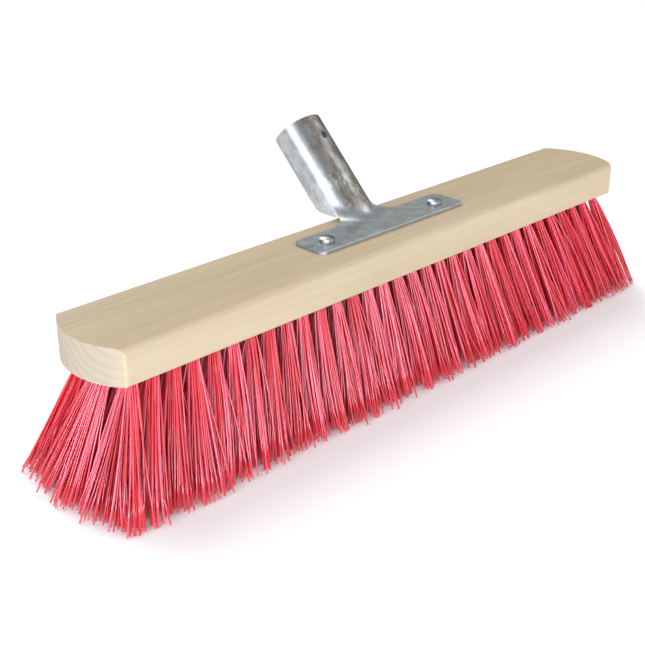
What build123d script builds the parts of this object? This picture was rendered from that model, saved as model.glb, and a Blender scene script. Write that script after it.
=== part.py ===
"""Push broom head: hardwood block, rolled sheet-steel handle socket and five rows of bristle tufts.

Millimetres. +X runs along the block, +Z is up, and the handle leans towards +Y.
The origin lies on the floor, in the plane of the bristle tips, under the centre of the block.
"""
from build123d import *
from math import cos, radians, sin
import os

os.makedirs("parts", exist_ok=True)

# ---- driving dimensions -------------------------------------------------------------------------
trim = 67.0                 # bristle length below the block, measured straight down
block_length = 420.0        # over the crown of both ends
block_crown = 10.0          # how far each end bows out past its corners
block_width = 56.0
block_thickness = 20.0
block_corner_radius = 2.6   # upright corners
block_front_round = 4.2     # sanded round along the top front edge
block_rear_round = 1.2      # along the top rear edge
block_bottom_round = 1.0

tuft_pitch = 12.3           # along a row
row_spacing = 9.25          # between rows at the block
full_row_count = 32         # the second and fourth rows hold one fewer, set half a pitch over
hole_radius = 3.0
hole_depth = 9.5            # along the leaning hole
root_radius = 2.8
tip_spread_x = [1.115, 1.18, 1.15, 1.18, 1.125]    # tip over root position along each row
tip_spread_y = 2.13         # the same across the rows
tip_half_x = 6.5            # half axes of one tuft's cut end
tip_half_y = 9.2
mouth_drop = 1.6            # a tuft starts to widen this far below the block

anchor_length = 5.2
anchor_thickness = 0.5
anchor_height = 2.0
anchor_slot_width = 0.9
anchor_slot_depth = 2.4

sheet = 1.5                 # steel thickness of the socket
socket_x = 5.0              # the socket sits a little to the right of the middle
plate_length = 122.0
plate_front = -9.8          # front and rear edges of the screw plate
plate_rear = 14.6
plate_corner_radius = 5.0
neck_half_width = 14.0
neck_reach = 16.0           # how far the neck runs on behind the plate, under the tube
neck_flare = 14.5           # radius where the neck runs out into the plate
bend_radius = 12.0          # on the upper face of the bend
bore_radius = 13.75         # takes a handle of 27 mm
neck_relief = 0.35          # the sheet is thinner by this where it is pressed out below the bore
tube_tilt = 45.0            # from the vertical
tube_foot_y = 31.3          # where the axis meets the top of the block
tube_reach = 60.0           # from there to the mouth, along the axis
tube_foot_gap = 1.4         # clear height of the tube's cut lower edge over the block
seam_gap = 0.5
lock_hole_radius = 2.5
bore_start = 17.5           # where the full ring of the tube begins, from the foot of its axis
lock_hole_setback = 14.6    # from the mouth
lock_hole_turn = 8.0        # degrees round the tube, from its upper front towards +X

screw_spacing = 92.0
screw_y = 2.2
screw_head_radius = 4.6
screw_head_height = 3.2
screw_rim_radius = 4.4        # where the upright wall of the head meets its low dome
screw_rim_height = 2.2
screw_crown_radius = 2.6      # a point half way up the dome
screw_crown_height = 2.95
screw_shank_radius = 1.75
screw_thread_radius = 2.2
screw_length = 11.5         # under the head
screw_point = 3.5
screw_thread_pitch = 1.8
screw_slot_width = 1.2
screw_slot_depth = 1.4
screw_slot_angle = -58.0
screw_hole_radius = 2.5     # in the plate and in the block

# ---- derived places -----------------------------------------------------------------------------
block_bottom = trim
block_top = block_bottom + block_thickness
plate_top = block_top + sheet
tube_radius = bore_radius + sheet
lean = radians(tube_tilt)
axis_out = Vector(0, sin(lean), cos(lean))      # along the tube, out of its mouth
axis_front = Vector(0, -cos(lean), sin(lean))   # from the axis to the upper front of the tube
tube_foot = Vector(socket_x, tube_foot_y, block_top)
tube_mouth = tube_foot + axis_out * tube_reach
tube_plane = Plane(origin=tube_foot, x_dir=(1, 0, 0), z_dir=axis_out)
hole_turn = radians(lock_hole_turn)
lock_hole_out = axis_front * cos(hole_turn) + Vector(1, 0, 0) * sin(hole_turn)
screw_places = [(socket_x - screw_spacing / 2, screw_y), (socket_x + screw_spacing / 2, screw_y)]

row_names = ["front", "front_inner", "middle", "rear_inner", "rear"]
section_names = ["left", "centre", "right"]
section_limit = 5.5 * tuft_pitch    # tufts further out than this are in the left or right section


def row_roots(row):
    """Root positions (x, y) of one row's tufts, from left to right."""
    middle_row = (len(row_names) - 1) / 2
    count = full_row_count - row % 2
    first = -(count - 1) / 2 * tuft_pitch
    return [(first + i * tuft_pitch, (row - middle_row) * row_spacing) for i in range(count)]


def tip_of(root):
    """Centre of a tuft's cut end on the floor."""
    row = round(root[1] / row_spacing) + len(row_names) // 2
    return (root[0] * tip_spread_x[row], root[1] * tip_spread_y)


def tuft_plane(root, distance):
    """Plane square to a tuft, at a distance below the block's underside along the tuft."""
    tip = tip_of(root)
    run = Vector(tip[0] - root[0], tip[1] - root[1], -block_bottom).normalized()
    start = Vector(root[0], root[1], block_bottom) + run * distance
    return Plane(origin=start, x_dir=(1, 0, 0), z_dir=run)


def section_of(root):
    """Which third of the row a tuft belongs to: 0 left, 1 centre, 2 right."""
    if root[0] < -section_limit:
        return 0
    if root[0] > section_limit:
        return 2
    return 1


# ---- broom block --------------------------------------------------------------------------------
corner_x = block_length / 2 - block_crown
corner_y = block_width / 2
hole_planes = [tuft_plane(root, mouth_drop) for row in range(len(row_names)) for root in row_roots(row)]

with BuildPart() as block:
    with BuildSketch(Plane.YZ) as profile:
        with Locations((0, block_bottom + block_thickness / 2)):
            Rectangle(block_width, block_thickness)
        fillet(profile.vertices().group_by(Axis.Y)[0], radius=block_bottom_round)
        fillet(profile.vertices().group_by(Axis.Y)[-1].sort_by(Axis.X)[0], radius=block_front_round)
        fillet(profile.vertices().group_by(Axis.Y)[-1].sort_by(Axis.X)[-1], radius=block_rear_round)
    extrude(amount=block_length, both=True)
    with BuildSketch(Plane.XY.offset(block_bottom)) as outline:
        with BuildLine():
            Line((-corner_x, -corner_y), (corner_x, -corner_y))
            ThreePointArc((corner_x, -corner_y), (block_length / 2, 0), (corner_x, corner_y))
            Line((corner_x, corner_y), (-corner_x, corner_y))
            ThreePointArc((-corner_x, corner_y), (-block_length / 2, 0), (-corner_x, -corner_y))
        make_face()
        fillet(outline.vertices(), radius=block_corner_radius)
    extrude(amount=block_thickness, mode=Mode.INTERSECT)
    with Locations(*hole_planes):
        Hole(radius=hole_radius, depth=hole_depth + mouth_drop)
    with Locations(*[(x, y, block_top) for x, y in screw_places]):
        Hole(radius=screw_hole_radius, depth=screw_length - sheet)
block.part.label = "broom_block"
export_step(block.part, "parts/broom_block.step")

# ---- handle socket ------------------------------------------------------------------------------
# The bend between the flat plate and the tube is the round between a slab and a leaning column.
# The same form, one sheet thickness smaller, hollows it out, so the wall keeps its thickness.
form_length = 140.0
form_front = -30.0
form_rear = 40.0
form_height = 16.0          # the neck follows the bend this far up the tube
slab_depth = 12.0
column_length = 60.0


def bend_form(radius, top, rounding):
    """Slab with a leaning column on it, the column round in front and running out behind."""
    slab_plane = Plane(origin=(socket_x, (form_front + form_rear) / 2, top - slab_depth))
    with BuildPart() as form:
        with BuildSketch(tube_plane):
            Circle(radius)
            with Locations((0, column_length / 2)):
                Rectangle(2 * radius, column_length)
        extrude(amount=column_length, both=True)
        with BuildSketch(slab_plane):
            Rectangle(form_length, form_rear - form_front)
        extrude(amount=slab_depth + form_height, mode=Mode.INTERSECT)
        with BuildSketch(slab_plane):
            Rectangle(form_length, form_rear - form_front)
        extrude(amount=slab_depth)
        foot_edges = form.edges().filter_by_position(Axis.Z, top, top)
        foot_edges = foot_edges.filter_by_position(Axis.X, socket_x - radius, socket_x + radius)
        foot_edges = foot_edges.filter_by_position(Axis.Y, form_front, form_rear, (False, False))
        fillet(foot_edges, radius=rounding)
    return form.part


outer_form = bend_form(tube_radius, plate_top, bend_radius)
hollow_form = bend_form(bore_radius + neck_relief, block_top, bend_radius + sheet - neck_relief)

with BuildSketch(Plane.XY.offset(block_top)) as plate_outline:
    with Locations((socket_x, (plate_front + plate_rear) / 2)):
        RectangleRounded(plate_length, plate_rear - plate_front, plate_corner_radius)
    with Locations((socket_x, plate_rear)):
        Rectangle(2 * neck_half_width, 2 * neck_reach)
    at_rear = (plate_rear - 0.1, plate_rear + 0.1)
    rear_corners = plate_outline.vertices().filter_by_position(Axis.Y, *at_rear)
    neck_corners = rear_corners.sort_by(Axis.X)[1:-1]
    fillet(neck_corners, radius=neck_flare)

with BuildPart() as neck_hollow:
    add(hollow_form)
    extrude(plate_outline.sketch, amount=2 * form_height, both=True, mode=Mode.INTERSECT)
    with BuildSketch(tube_plane.offset(-tube_radius)):
        Circle(bore_radius + neck_relief)
    extrude(amount=bore_start + 2 * tube_radius)
    split(bisect_by=tube_plane.offset(bore_start), keep=Keep.BOTTOM)

with BuildPart() as rolled_tube:
    with BuildSketch(tube_plane.offset(-tube_radius)):
        Circle(tube_radius)
        Circle(bore_radius, mode=Mode.SUBTRACT)
        with Locations((0, bore_radius)):
            Rectangle(seam_gap, 4 * sheet, mode=Mode.SUBTRACT)
    extrude(amount=tube_reach + tube_radius)
    split(bisect_by=Plane.XY.offset(block_top + tube_foot_gap), keep=Keep.TOP)

with BuildPart() as socket:
    extrude(plate_outline.sketch, amount=form_height)
    add(outer_form, mode=Mode.INTERSECT)
    add(rolled_tube.part)
    add(neck_hollow.part, mode=Mode.SUBTRACT)
    with BuildSketch(tube_plane.offset(bore_start)):
        Circle(bore_radius)
    extrude(amount=tube_reach, mode=Mode.SUBTRACT)
    with Locations(*[(x, y, plate_top) for x, y in screw_places]):
        Hole(radius=screw_hole_radius, depth=2 * sheet)
    lock_hole_top = tube_mouth - axis_out * lock_hole_setback + lock_hole_out * tube_radius
    with Locations(Plane(origin=lock_hole_top, z_dir=lock_hole_out)):
        Hole(radius=lock_hole_radius, depth=4 * sheet)
socket.part.label = "handle_socket"
export_step(socket.part, "parts/handle_socket.step")

# ---- screws that hold the plate -----------------------------------------------------------------
thread_end = -(screw_length - screw_point)
thread_start = -2.0 * sheet
thread_count = int((thread_start - thread_end) / screw_thread_pitch)

with BuildPart() as screws:
    for x, y in screw_places:
        screw_plane = Plane(origin=(x, y, plate_top), x_dir=(1, 0, 0), z_dir=(0, -1, 0))
        with BuildSketch(screw_plane):
            with BuildLine():
                dome = ThreePointArc(
                    (0, screw_head_height),
                    (screw_crown_radius, screw_crown_height),
                    (screw_rim_radius, screw_rim_height),
                )
                flank = [dome @ 1, (screw_head_radius, 0), (screw_shank_radius, 0), (screw_shank_radius, thread_start)]
                for turn in range(thread_count):
                    crest = thread_start - (turn + 0.5) * screw_thread_pitch
                    flank.append((screw_thread_radius, crest))
                    flank.append((screw_shank_radius, crest - screw_thread_pitch / 2))
                flank.append((screw_shank_radius, thread_end))
                flank.append((0, -screw_length))
                Polyline(*flank)
                Line((0, -screw_length), dome @ 0)
            make_face()
        revolve(axis=Axis((x, y, plate_top), (0, 0, 1)))
        with BuildSketch(Plane.XY.offset(plate_top + screw_head_height - screw_slot_depth)):
            with Locations(Location((x, y), screw_slot_angle)):
                Rectangle(3 * screw_head_radius, screw_slot_width)
        extrude(amount=screw_head_height, mode=Mode.SUBTRACT)
screws.part.label = "socket_screws"
export_step(screws.part, "parts/socket_screws.step")


# ---- bristle tufts and their wire anchors -------------------------------------------------------
def bristle_tufts(roots):
    """Closed outline solid of each tuft: a stub in its hole, then a fan down to the floor."""
    with BuildPart() as tufts:
        for root in roots:
            mouth = tuft_plane(root, mouth_drop)
            with BuildSketch(mouth):
                Circle(root_radius)
            extrude(amount=-(mouth_drop + hole_depth))
            with BuildSketch(mouth):
                Circle(root_radius)
            with BuildSketch(Plane(origin=(*tip_of(root), 0), x_dir=(1, 0, 0), z_dir=(0, 0, -1))):
                Ellipse(tip_half_x, tip_half_y)
            loft(ruled=True)
            with Locations(tuft_plane(root, -hole_depth)):
                Box(3 * root_radius, anchor_slot_width, 2 * anchor_slot_depth, mode=Mode.SUBTRACT)
    return tufts.part


def wire_anchors(roots):
    """The flat piece of wire that each tuft is folded over, at the bottom of its hole."""
    with BuildPart() as anchors:
        with Locations(*[tuft_plane(root, anchor_height / 2 - hole_depth) for root in roots]):
            Box(anchor_length, anchor_thickness, anchor_height)
    return anchors.part


for row, row_name in enumerate(row_names):
    anchors = wire_anchors(row_roots(row))
    anchors.label = f"anchors_{row_name}"
    export_step(anchors, f"parts/{anchors.label}.step")
    for section, section_name in enumerate(section_names):
        tufts = bristle_tufts([root for root in row_roots(row) if section_of(root) == section])
        tufts.label = f"tufts_{row_name}_{section_name}"
        export_step(tufts, f"parts/{tufts.label}.step")
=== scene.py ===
"""Looks of the push broom head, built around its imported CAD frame. Metres; +X along the block, +Z up."""
import math

import bpy
import numpy as np
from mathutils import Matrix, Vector


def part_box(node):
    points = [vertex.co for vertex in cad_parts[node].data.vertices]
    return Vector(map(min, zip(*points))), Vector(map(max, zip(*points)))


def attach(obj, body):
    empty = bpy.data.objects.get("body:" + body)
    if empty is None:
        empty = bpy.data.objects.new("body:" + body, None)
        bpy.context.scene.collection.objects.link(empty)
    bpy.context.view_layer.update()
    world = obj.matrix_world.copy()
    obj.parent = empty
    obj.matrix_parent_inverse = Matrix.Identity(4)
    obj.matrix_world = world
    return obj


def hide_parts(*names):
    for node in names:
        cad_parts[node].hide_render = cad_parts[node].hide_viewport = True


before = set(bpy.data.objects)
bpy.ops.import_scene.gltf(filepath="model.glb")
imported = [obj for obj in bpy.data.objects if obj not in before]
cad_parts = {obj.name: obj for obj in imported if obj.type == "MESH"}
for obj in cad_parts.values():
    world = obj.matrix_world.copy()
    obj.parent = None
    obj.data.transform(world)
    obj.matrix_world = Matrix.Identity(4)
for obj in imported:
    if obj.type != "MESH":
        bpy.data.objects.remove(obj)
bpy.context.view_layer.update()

rng = np.random.default_rng(41)
MM = 0.001

# ---- places taken from the frame ----------------------------------------------------------------
block_low, block_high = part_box("broom_block")
block_bottom = block_low[2]
block_top = block_high[2]
socket_low, socket_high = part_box("handle_socket")

ROWS = ["front", "front_inner", "middle", "rear_inner", "rear"]
SECTIONS = ["left", "centre", "right"]


# ---- material helpers ---------------------------------------------------------------------------
class Shader:
    """A material's node tree, with short calls for the nodes used here."""

    def __init__(self, name):
        self.material = bpy.data.materials.new(name)
        self.material.use_nodes = True
        self.tree = self.material.node_tree
        self.surface = self.tree.nodes["Principled BSDF"]

    def node(self, kind, inputs=None, **settings):
        made = self.tree.nodes.new(kind)
        for key, value in settings.items():
            setattr(made, key, value)
        for key, value in (inputs or {}).items():
            self.feed(made.inputs[key], value)
        return made

    def feed(self, socket, value):
        if isinstance(value, bpy.types.NodeSocket):
            self.tree.links.new(value, socket)
        else:
            socket.default_value = value

    def place(self):
        """Where the surface point is, in metres."""
        return self.node("ShaderNodeTexCoord").outputs["Object"]

    def times(self, value, factor):
        return self.maths("MULTIPLY", value, factor)

    def separate(self, vector):
        """The outputs X, Y and Z of a vector."""
        return self.node("ShaderNodeSeparateXYZ", {"Vector": vector}).outputs

    def scaled(self, vector, scale, move=(0, 0, 0)):
        mapping = self.node("ShaderNodeMapping", {"Vector": vector, "Scale": scale, "Location": move})
        return mapping.outputs["Vector"]

    def noise(self, vector, scale, detail=3.0, roughness=0.5, distortion=0.0):
        made = self.node(
            "ShaderNodeTexNoise",
            {
                "Vector": vector,
                "Scale": scale,
                "Detail": detail,
                "Roughness": roughness,
                "Distortion": distortion,
            },
        )
        return made.outputs["Fac"]

    def maths(self, operation, a, b=0.0):
        made = self.node("ShaderNodeMath", operation=operation)
        self.feed(made.inputs[0], a)
        self.feed(made.inputs[1], b)
        return made.outputs[0]

    def offset(self, a, b):
        """The vector a - b."""
        made = self.node("ShaderNodeVectorMath", operation="SUBTRACT")
        self.feed(made.inputs[0], a)
        self.feed(made.inputs[1], b)
        return made.outputs["Vector"]

    def ramp(self, value, *stops):
        """Colours or greys by value: each stop is (position, grey or (r, g, b))."""
        made = self.node("ShaderNodeValToRGB", {"Fac": value})
        elements = made.color_ramp.elements
        while len(elements) < len(stops):
            elements.new(0.5)
        for element, (position, colour) in zip(elements, stops):
            element.position = position
            rgb = colour if isinstance(colour, tuple) else (colour,) * 3
            element.color = (*rgb, 1.0)
        return made.outputs["Color"]

    def mix(self, share, a, b):
        """Colour a, with a share of colour b laid over it."""
        made = self.node("ShaderNodeMix", data_type="RGBA")
        self.feed(made.inputs["Factor"], share)
        for socket, value in ((made.inputs[6], a), (made.inputs[7], b)):
            self.feed(socket, (*value, 1.0) if isinstance(value, tuple) else value)
        return made.outputs[2]

    def bump(self, height, distance, strength=1.0, before=None):
        made = self.node(
            "ShaderNodeBump", {"Height": height, "Distance": distance, "Strength": strength}
        )
        if before is not None:
            self.feed(made.inputs["Normal"], before)
        return made.outputs["Normal"]


def srgb(red, green, blue):
    """Linear colour of an sRGB triple given as 0 to 255."""
    return tuple(
        c / 12.92 if c <= 0.04045 else ((c + 0.055) / 1.055) ** 2.4
        for c in (red / 255, green / 255, blue / 255)
    )


# ---- wood ---------------------------------------------------------------------------------------
PITH_Y = -26 * MM                       # centre of the growth rings, seen from the end
PITH_Z = block_top + 14 * MM
RING_SPACING = 5.2 * MM
RING_WANDER = 13 * MM


def wood_material():
    s = Shader("bare_hardwood")
    place = s.place()
    parts = s.separate(place)
    facing = s.separate(s.node("ShaderNodeNewGeometry").outputs["Normal"])

    # growth rings: late wood is the darker line at the end of each year
    wander = s.noise(s.scaled(place, (4, 30, 30)), 1.0, detail=2.0)
    y = s.maths("SUBTRACT", parts["Y"], PITH_Y)
    z = s.maths("SUBTRACT", parts["Z"], PITH_Z)
    radius = s.maths("SQRT", s.maths("ADD", s.times(y, y), s.times(z, z)))
    radius = s.maths("ADD", radius, s.times(wander, RING_WANDER))
    rings = s.maths("FRACT", s.maths("DIVIDE", radius, RING_SPACING))
    late = s.ramp(rings, (0.0, 0.75), (0.1, 0.1), (0.5, 0.0), (0.84, 0.25), (0.95, 1.0), (1.0, 0.75))

    # noise drawn out along the grain, from fine fibres to broad changes of tone
    fibre = s.noise(s.scaled(place, (16, 1100, 1100)), 1.0, detail=4.0, roughness=0.7)
    streak = s.noise(s.scaled(place, (5, 210, 210)), 1.0, detail=4.0, roughness=0.6)
    broad = s.noise(s.scaled(place, (6, 34, 50), (2, 0, 1)), 1.0, detail=3.0)
    rosy = s.noise(s.scaled(place, (9, 60, 60), (5, 3, 2)), 1.0, detail=2.0)
    pores = s.noise(s.scaled(place, (1500, 1500, 1500)), 1.0, detail=2.0)

    pale = srgb(190, 175, 146)
    colour = s.mix(s.ramp(broad, (0.32, 0.0), (0.68, 1.0)), pale, srgb(178, 163, 134))
    colour = s.mix(s.times(late, 0.36), colour, srgb(184, 156, 124))
    rosiness = s.times(s.ramp(rosy, (0.52, 0.0), (0.72, 1.0)), 0.3)
    colour = s.mix(rosiness, colour, srgb(196, 164, 138))

    # the sawn top is busier than the planed front, and painted shade makes it a little darker
    top_grain_and_shade = s.ramp(facing["Z"], (0.45, 0.0), (0.95, 1.0))
    busy = s.maths("ADD", s.times(top_grain_and_shade, 0.62), 0.38)
    streaks = s.times(s.ramp(streak, (0.46, 0.0), (0.66, 1.0)), 0.36)
    colour = s.mix(s.times(streaks, busy), colour, srgb(172, 148, 122))
    fibres = s.times(s.ramp(fibre, (0.36, 1.0), (0.56, 0.0)), 0.28)
    colour = s.mix(s.times(fibres, busy), colour, srgb(160, 136, 110))
    # painted shade: the top face is darkened a little, where less light falls on it
    colour = s.mix(s.times(top_grain_and_shade, 0.04), colour, srgb(160, 138, 112))

    # end grain shows the rings and the pores
    end_grain = s.mix(s.times(late, 0.55), srgb(166, 156, 137), srgb(148, 132, 109))
    pits = s.times(s.ramp(pores, (0.4, 1.0), (0.6, 0.0)), 0.12)
    end_grain = s.mix(pits, end_grain, srgb(170, 150, 122))
    endward = s.times(facing["X"], facing["X"])
    colour = s.mix(s.ramp(endward, (0.45, 0.0), (0.8, 1.0)), colour, end_grain)

    s.feed(s.surface.inputs["Base Color"], colour)
    s.feed(s.surface.inputs["Roughness"], s.ramp(fibre, (0.2, 0.66), (0.8, 0.54)))
    s.surface.inputs["Specular IOR Level"].default_value = 0.3
    s.feed(s.surface.inputs["Normal"], s.bump(fibre, 0.0001, 0.5))
    return s.material


# ---- galvanised steel ---------------------------------------------------------------------------
SOCKET_X = socket_low[0] / 2 + socket_high[0] / 2
TUBE_FOOT = Vector((SOCKET_X, 31.3 * MM, block_top))    # where the axis meets the top of the block
TUBE_TILT = math.radians(45)
TUBE_RADIUS = 15.25 * MM
TUBE_REACH = 60 * MM
PLATE_FRONT = socket_low[1]
NEAR_BLOCK = 20 * MM        # the marks near the plate are ramped over this height above the block
EDGE_BAND = 5 * MM          # and the painted highlight on the plate's front edge and the painted shade at the screw heads' feet over this distance

# direction across the tube from its left edge to its right, in its own X and Y
TUBE_RIGHT_X = 0.763
TUBE_RIGHT_Y = -0.647


def steel_material():
    s = Shader("galvanised_steel")
    place = s.place()
    parts = s.separate(place)
    tilt = s.node("ShaderNodeMapping", {"Vector": s.offset(place, TUBE_FOOT)})
    tilt.inputs["Rotation"].default_value = (TUBE_TILT, 0, 0)
    on_axis = tilt.outputs["Vector"]
    tube = s.separate(on_axis)

    # where on the tube: from its left edge at 0 to its right edge at 1, and up from its foot
    sideways = s.maths("ADD", s.times(tube["X"], TUBE_RIGHT_X), s.times(tube["Y"], TUBE_RIGHT_Y))
    across = s.maths("ADD", s.maths("DIVIDE", sideways, 2 * TUBE_RADIUS), 0.5)
    along = s.maths("DIVIDE", tube["Z"], TUBE_REACH)
    rise = s.maths("DIVIDE", s.maths("SUBTRACT", parts["Z"], block_top), NEAR_BLOCK)
    on_tube = s.ramp(rise, (0.0, 0.0), (0.2, 0.0), (0.45, 1.0))
    on_plate = s.ramp(rise, (0.0, 1.0), (0.08, 1.0), (0.2, 0.0))

    # clouded zinc with drawing marks along the tube
    cloud = s.noise(place, 150.0, detail=5.0, roughness=0.6)
    drawn = s.noise(s.scaled(on_axis, (700, 700, 45)), 1.0, detail=4.0, roughness=0.6)
    fine = s.noise(place, 1100.0, detail=3.0, roughness=0.6)
    light_zinc = srgb(204, 210, 211)
    colour = s.mix(s.ramp(cloud, (0.35, 0.0), (0.68, 1.0)), srgb(186, 193, 195), light_zinc)
    marks = s.times(s.ramp(drawn, (0.45, 0.0), (0.7, 1.0)), 0.35)
    colour = s.mix(marks, colour, srgb(140, 146, 147))

    # brownish patches, strongest on the tube's left edge and right half as seen from the camera: partly
    # real staining, partly painted shade
    stain_and_shade_side = s.ramp(
        across,
        (0.0, 0.7),
        (0.1, 0.4),
        (0.24, 0.05),
        (0.42, 0.1),
        (0.56, 0.85),
        (0.85, 1.0),
        (1.0, 1.0),
    )
    patch = s.noise(
        s.scaled(on_axis, (230, 230, 110), (3, 1, 2)), 1.0, detail=5.0, roughness=0.65
    )
    patches = s.ramp(patch, (0.38, 0.3), (0.58, 1.0))
    stain_and_shade = s.times(s.times(stain_and_shade_side, on_tube), patches)
    # partly real brown stain, partly painted shade on the tube's left edge and right side
    colour = s.mix(s.times(stain_and_shade, 0.85), colour, srgb(122, 105, 88))

    # whitish scuffs around the lower part of the tube
    scratch = s.noise(
        s.scaled(on_axis, (260, 260, 120), (1, 4, 2)),
        1.0,
        detail=6.0,
        roughness=0.75,
        distortion=1.2,
    )
    low_down = s.ramp(along, (0.0, 1.0), (0.3, 1.0), (0.5, 0.0))
    scuff = s.times(s.times(low_down, on_tube), s.ramp(scratch, (0.54, 0.0), (0.64, 1.0)))
    colour = s.mix(s.times(scuff, 0.75), colour, srgb(236, 240, 240))

    # painted shade: the tube is darkened along its left and right outline
    outline_shade = s.ramp(across, (0.0, 0.5), (0.05, 0.0), (0.91, 0.0), (0.97, 1.0))
    # painted shade along the tube's silhouette
    colour = s.mix(s.times(s.times(outline_shade, on_tube), 0.7), colour, srgb(84, 90, 88))

    # the plate is duller than the tube, and a painted highlight runs along its front edge
    colour = s.mix(s.times(on_plate, 0.5), colour, srgb(168, 175, 176))
    depth = s.maths("DIVIDE", s.maths("SUBTRACT", parts["Y"], PLATE_FRONT), EDGE_BAND)
    # painted highlight: a bright line along the plate's front edge
    edge_highlight = s.ramp(depth, (0.02, 0.0), (0.08, 1.0), (0.2, 1.0), (0.3, 0.0))
    colour = s.mix(s.times(s.times(edge_highlight, on_plate), 0.85), colour, srgb(244, 247, 247))

    s.feed(s.surface.inputs["Base Color"], colour)
    s.surface.inputs["Metallic"].default_value = 1.0
    rough = s.mix(stain_and_shade, s.ramp(cloud, (0.3, 0.27), (0.7, 0.4)), (0.42, 0.42, 0.42))
    s.feed(s.surface.inputs["Roughness"], s.mix(scuff, rough, (0.6, 0.6, 0.6)))
    clouds = s.bump(cloud, 0.00012, 0.25)
    s.feed(s.surface.inputs["Normal"], s.bump(fine, 0.00003, 0.4, before=clouds))
    return s.material


# ---- zinc-plated screws and wire ----------------------------------------------------------------
PLATE_TOP = block_top + 1.5 * MM
SCREW_SPACING = 92 * MM
SCREW_Y = 2.2 * MM
SLOT_ANGLE = math.radians(-58)
SLOT_HALF = 0.64 * MM


def zinc_material():
    s = Shader("bright_zinc")
    place = s.place()
    parts = s.separate(place)
    cloud = s.noise(place, 500.0, detail=3.0)
    light_zinc = srgb(180, 184, 185)
    colour = s.mix(s.ramp(cloud, (0.35, 0.0), (0.7, 1.0)), srgb(150, 155, 156), light_zinc)

    # the slot and the foot of each head are dull, and darkened with painted shade
    from_middle = s.maths("SUBTRACT", parts["X"], SOCKET_X)
    nearest_screw = s.times(s.maths("SIGN", from_middle), SCREW_SPACING / 2)
    x = s.maths("SUBTRACT", from_middle, nearest_screw)
    y = s.maths("SUBTRACT", parts["Y"], SCREW_Y)
    off_slot = s.maths(
        "SUBTRACT", s.times(y, math.cos(SLOT_ANGLE)), s.times(x, math.sin(SLOT_ANGLE))
    )
    in_slot = s.maths("LESS_THAN", s.maths("ABSOLUTE", off_slot), SLOT_HALF)
    rise = s.maths("DIVIDE", s.maths("SUBTRACT", parts["Z"], PLATE_TOP), EDGE_BAND)
    foot = s.ramp(rise, (0.0, 1.0), (0.16, 0.75), (0.3, 0.0))
    slot_and_foot_shade = s.maths("MAXIMUM", in_slot, s.times(foot, 0.75))
    # painted shade in each slot and around the foot of each head
    colour = s.mix(s.times(slot_and_foot_shade, 0.85), colour, srgb(86, 70, 54))

    s.feed(s.surface.inputs["Base Color"], colour)
    s.surface.inputs["Metallic"].default_value = 1.0
    rough = s.ramp(cloud, (0.3, 0.3), (0.7, 0.42))
    s.feed(s.surface.inputs["Roughness"], s.mix(slot_and_foot_shade, rough, (0.6, 0.6, 0.6)))
    s.feed(s.surface.inputs["Normal"], s.bump(cloud, 0.00004, 0.4))
    return s.material


# ---- bristles -----------------------------------------------------------------------------------
CUT_BAND = 20 * MM          # the paler cut ends fade out within this height


def bristle_material():
    s = Shader("red_filament")
    tone = s.node("ShaderNodeAttribute", attribute_name="tone").outputs["Fac"]
    place = s.place()
    along = s.noise(s.scaled(place, (300, 300, 25)), 1.0, detail=2.0)
    colour = s.mix(tone, srgb(190, 0, 10), srgb(214, 14, 28))
    # a few bristles in each tuft are paler pink, a random tone that also stands in for painted sheen
    paler_and_sheen = s.times(s.ramp(tone, (0.6, 0.0), (0.95, 1.0)), 0.5)
    # random paler tone, partly a painted pinkish sheen
    colour = s.mix(paler_and_sheen, colour, srgb(236, 116, 142))
    colour = s.mix(s.times(along, 0.16), colour, srgb(234, 72, 92))
    height = s.maths("DIVIDE", s.separate(place)["Z"], CUT_BAND)
    cut = s.ramp(height, (0.0, 1.0), (0.2, 0.5), (0.6, 0.0))
    colour = s.mix(s.times(cut, 0.35), colour, srgb(232, 84, 92))
    s.feed(s.surface.inputs["Base Color"], colour)
    s.feed(s.surface.inputs["Roughness"], s.ramp(along, (0.3, 0.18), (0.7, 0.28)))
    s.surface.inputs["Specular IOR Level"].default_value = 1.0
    s.surface.inputs["Specular Tint"].default_value = (0.92, 0.74, 0.86, 1.0)
    s.surface.inputs["Coat Weight"].default_value = 0.35
    s.surface.inputs["Coat Roughness"].default_value = 0.18
    return s.material


BRISTLE_RADIUS = 0.44 * MM
BRISTLES_PER_TUFT = 44
BRISTLE_SIDES = 6
BRISTLE_SPANS = 6
ROOT_INSET = 7 * MM         # how far the drawn bristles run up into their holes
ROOT_PACK = 2.7 * MM        # radius that the bristle centres fill at the block
TUFT_PITCH = 12.3 * MM
ROW_SPACING = 9.25 * MM
TIP_SPREAD_X = (1.115, 1.18, 1.15, 1.18, 1.125)    # by row, as in the frame
TIP_SPREAD_Y = 2.13
TIP_HALF = (6.5 * MM, 9.2 * MM)         # half axes of one tuft's cut end
TIP_BLOOM = 1.08                        # the drawn tufts are a little looser than the solid ones
FAN_HALF = (227.5 * MM, 50.0 * MM)      # how far the cut ends reach at the middle of each side
FAN_POWER = 9                           # a higher power makes the fan's corners sharper
FULL_ROW = 32
MIDDLE_ROW = 2
SECTION_LIMIT = 5.5 * TUFT_PITCH        # tufts further out than this are in the left or right section
GOLDEN_ANGLE = 2.39996
STRAY_SHARE = 0.07
HOOKED_SHARE = 0.04


def row_roots(row):
    """Root positions (x, y) of one row's tufts, as in the frame."""
    count = FULL_ROW - row % 2
    first = -(count - 1) / 2 * TUFT_PITCH
    return [(first + i * TUFT_PITCH, (row - MIDDLE_ROW) * ROW_SPACING) for i in range(count)]


def section_of(root):
    """Index in SECTIONS of a tuft's section."""
    if root[0] < -SECTION_LIMIT:
        return 0
    if root[0] > SECTION_LIMIT:
        return 2
    return 1


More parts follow.
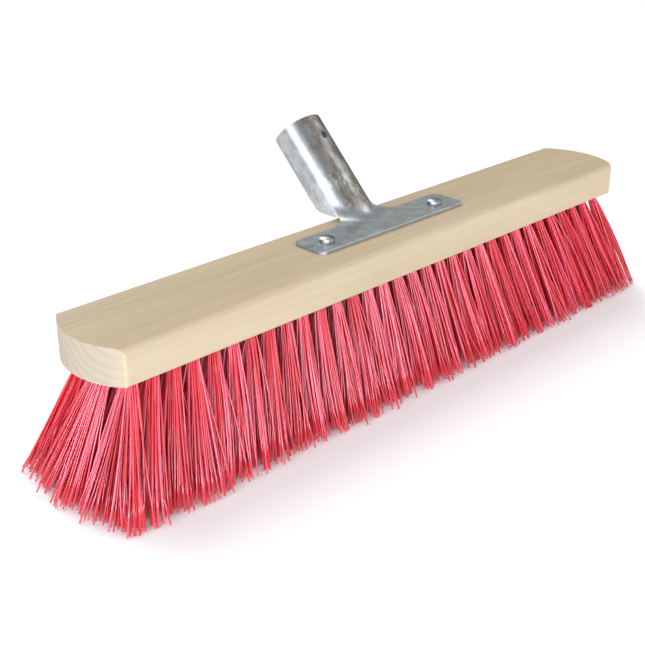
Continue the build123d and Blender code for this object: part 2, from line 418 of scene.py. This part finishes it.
def bristle_paths(root):
    """Centre lines of one tuft's bristles: an array of bristles x points x 3."""
    count = BRISTLES_PER_TUFT
    row = round(root[1] / ROW_SPACING) + MIDDLE_ROW
    turn = rng.uniform(0, 2 * math.pi)
    steps = np.arange(count)
    share = np.sqrt((steps + 0.5) / count)
    angle = steps * GOLDEN_ANGLE + turn
    disc = np.column_stack([share * np.cos(angle), share * np.sin(angle)])
    start = np.column_stack([root[0] + disc[:, 0] * ROOT_PACK, root[1] + disc[:, 1] * ROOT_PACK])
    # bristles cling together in a few locks, which leaves gaps between them lower down
    locks = rng.integers(4, 7)
    lock_centre = disc[rng.choice(count, locks, replace=False)]
    nearest = np.argmin(((disc[:, None, :] - lock_centre[None]) ** 2).sum(2), axis=1)
    cling = rng.uniform(0.0, 0.26, locks)[nearest][:, None]
    spread = disc * (1 - cling) + lock_centre[nearest] * cling
    lean = rng.normal(0, 1.0 * MM, 2)
    centre = np.array([root[0] * TIP_SPREAD_X[row], root[1] * TIP_SPREAD_Y])
    tip = centre + lean + spread * TIP_HALF * TIP_BLOOM + rng.normal(0, 1.3 * MM, (count, 2))
    stray = rng.random(count) < STRAY_SHARE
    tip[stray] += rng.normal(0, 5.5 * MM, (stray.sum(), 2))
    tip = within_fan(tip)
    height = np.abs(rng.normal(0, 1.3 * MM, count)) + rng.uniform(0, 0.5 * MM, locks)[nearest]
    height[rng.integers(count)] = 0.0
    bow = rng.normal(0, 0.7 * MM, (count, 2)) + rng.normal(0, 0.7 * MM, (locks, 2))[nearest]
    t = np.linspace(0, 1, BRISTLE_SPANS + 1)[None, :, None]
    low = np.column_stack([tip, height])[:, None, :]
    high = np.column_stack([start, np.full(count, block_bottom)])[:, None, :]
    path = high + (low - high) * t
    path[:, :, :2] += bow[:, None, :] * np.sin(math.pi * t)
    hooked = rng.random(count) < HOOKED_SHARE
    path[hooked, -1, :2] += rng.normal(0, 1.3 * MM, (hooked.sum(), 2))
    inset = high + (high - low) / np.linalg.norm(high - low, axis=2, keepdims=True) * ROOT_INSET
    return np.concatenate([inset, path], axis=1)


def within_fan(tip):
    """Draws tips that are outside the trimmed outline, a rectangle with worn corners, back inside it."""
    reach = np.abs(tip) / FAN_HALF
    over = np.maximum((reach**FAN_POWER).sum(1) ** (1 / FAN_POWER), 1.0)
    return tip / over[:, None]


def tubes(paths, radius, sides):
    """Vertices and faces of closed round tubes along the paths."""
    count, points, _ = paths.shape
    run = np.gradient(paths, axis=1)
    run /= np.linalg.norm(run, axis=2, keepdims=True)
    across = np.cross(run, [0.0, 1.0, 0.0])
    across /= np.linalg.norm(across, axis=2, keepdims=True)
    other = np.cross(run, across)
    angle = np.arange(sides) * 2 * math.pi / sides
    ring = (
        across[:, :, None, :] * np.cos(angle)[None, None, :, None]
        + other[:, :, None, :] * np.sin(angle)[None, None, :, None]
    )
    vertices = (paths[:, :, None, :] + ring * radius[:, None, None, None]).reshape(-1, 3)
    base = np.arange(count)[:, None, None] * points * sides
    level = np.arange(points - 1)[None, :, None] * sides
    side = np.arange(sides)[None, None, :]
    after = (side + 1) % sides
    lower = base + level
    upper = lower + sides
    quads = np.stack([lower + side, lower + after, upper + after, upper + side], axis=-1)
    quads = quads.reshape(-1, 4)
    starts = np.arange(count) * points * sides
    ends = starts + (points - 1) * sides
    caps = [tuple(start + sides - 1 - k for k in range(sides)) for start in starts]
    caps += [tuple(end + k for k in range(sides)) for end in ends]
    return vertices, [tuple(q) for q in quads.tolist()] + caps


def bristle_piece(name, roots, material):
    """One object with all the bristles of the tufts at the given roots."""
    paths = np.concatenate([bristle_paths(root) for root in roots])
    radius = BRISTLE_RADIUS * rng.uniform(0.9, 1.06, len(paths))
    vertices, faces = tubes(paths, radius, BRISTLE_SIDES)
    mesh = bpy.data.meshes.new(name)
    mesh.from_pydata(vertices.tolist(), [], faces)
    mesh.materials.append(material)
    mesh.polygons.foreach_set("use_smooth", [len(f) == 4 for f in faces])
    tone = mesh.attributes.new("tone", "FLOAT", "POINT")
    per_bristle = paths.shape[1] * BRISTLE_SIDES
    tone.data.foreach_set("value", np.repeat(rng.random(len(paths)), per_bristle).astype(np.float32))
    piece = bpy.data.objects.new(name, mesh)
    bpy.context.collection.objects.link(piece)
    return piece


red_filament = bristle_material()
for row, row_name in enumerate(ROWS):
    for section, section_name in enumerate(SECTIONS):
        group = f"{row_name}_{section_name}"
        roots = [root for root in row_roots(row) if section_of(root) == section]
        bristles = bristle_piece(f"bristles_{group}", roots, red_filament)
        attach(bristles, "root")
        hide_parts(f"tufts_{group}")


# ---- materials of the CAD nodes -----------------------------------------------------------------
def dress(node, material):
    """Gives a CAD node its material, on the object's slots, so that its mesh stays as it is."""
    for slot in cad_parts[node].material_slots:
        slot.link = "OBJECT"
        slot.material = material


dress("broom_block", wood_material())
dress("handle_socket", steel_material())
zinc = zinc_material()
dress("socket_screws", zinc)
for row_name in ROWS:
    dress(f"anchors_{row_name}", zinc)


# ---- floor, light and camera --------------------------------------------------------------------
def floor_material():
    s = Shader("studio_floor")
    cloud = s.noise(s.place(), 3.0)
    s.feed(s.surface.inputs["Base Color"], s.mix(cloud, (0.92, 0.92, 0.92), (0.95, 0.95, 0.95)))
    s.surface.inputs["Roughness"].default_value = 0.8
    return s.material


bpy.ops.mesh.primitive_plane_add(size=12.0, location=(0, 0, 0))
floor = bpy.context.object
floor.name = "floor"
floor.data.materials.append(floor_material())


def direction(azimuth, elevation):
    """Unit vector towards a place around the object; azimuth 0 is in front, at -Y, and 90 at +X."""
    level = math.cos(elevation)
    return Vector((math.sin(azimuth) * level, -math.cos(azimuth) * level, math.sin(elevation)))


def area_light(name, azimuth, elevation, distance, width, height, power, colour=(1, 1, 1)):
    """A soft light that faces the object, at an azimuth and elevation in degrees."""
    away = direction(math.radians(azimuth), math.radians(elevation))
    light = bpy.data.lights.new(name, "AREA")
    light.shape = "RECTANGLE"
    light.size = width
    light.size_y = height
    light.energy = power
    light.color = colour
    lamp = bpy.data.objects.new(name, light)
    lamp.location = away * distance
    lamp.rotation_euler = away.to_track_quat("Z", "Y").to_euler()
    bpy.context.collection.objects.link(lamp)


COOL_WHITE = (0.96, 0.98, 1.0)
area_light("left", -84, 20, 1.7, 1.0, 1.0, 8, COOL_WHITE)
area_light("front", 42, 28, 2.3, 2.0, 2.0, 25, (0.98, 0.98, 1.0))
# a low strip gives the front bristles their lilac sheen
area_light("low", -50, 10.5, 1.8, 2.2, 0.4, 40, (0.84, 0.88, 1.0))
area_light("back", 174, 50, 3.2, 2.2, 2.2, 66)

world = bpy.data.worlds.new("studio")
bpy.context.scene.world = world
world.use_nodes = True
background = world.node_tree.nodes["Background"]
background.inputs["Color"].default_value = (1, 1, 1, 1)
background.inputs["Strength"].default_value = 0.42

view_settings = bpy.context.scene.view_settings
view_settings.view_transform = "Standard"
view_settings.look = "None"

AZIMUTH = math.radians(-44.5)
ELEVATION = math.radians(24.5)
DISTANCE = 653.4 * MM
AIM = Vector((-47.9 * MM, 0, block_bottom - 19.0 * MM))

camera_data = bpy.data.cameras.new("camera")
camera_data.lens = 64.3
camera_data.sensor_width = 36.0
camera_data.shift_x = 0.0028
camera_data.shift_y = -0.0163
camera_data.clip_start = 0.01
camera = bpy.data.objects.new("camera", camera_data)
bpy.context.collection.objects.link(camera)
back = direction(AZIMUTH, ELEVATION)
camera.location = AIM + back * DISTANCE
camera.rotation_euler = back.to_track_quat("Z", "Y").to_euler()
bpy.context.scene.camera = camera
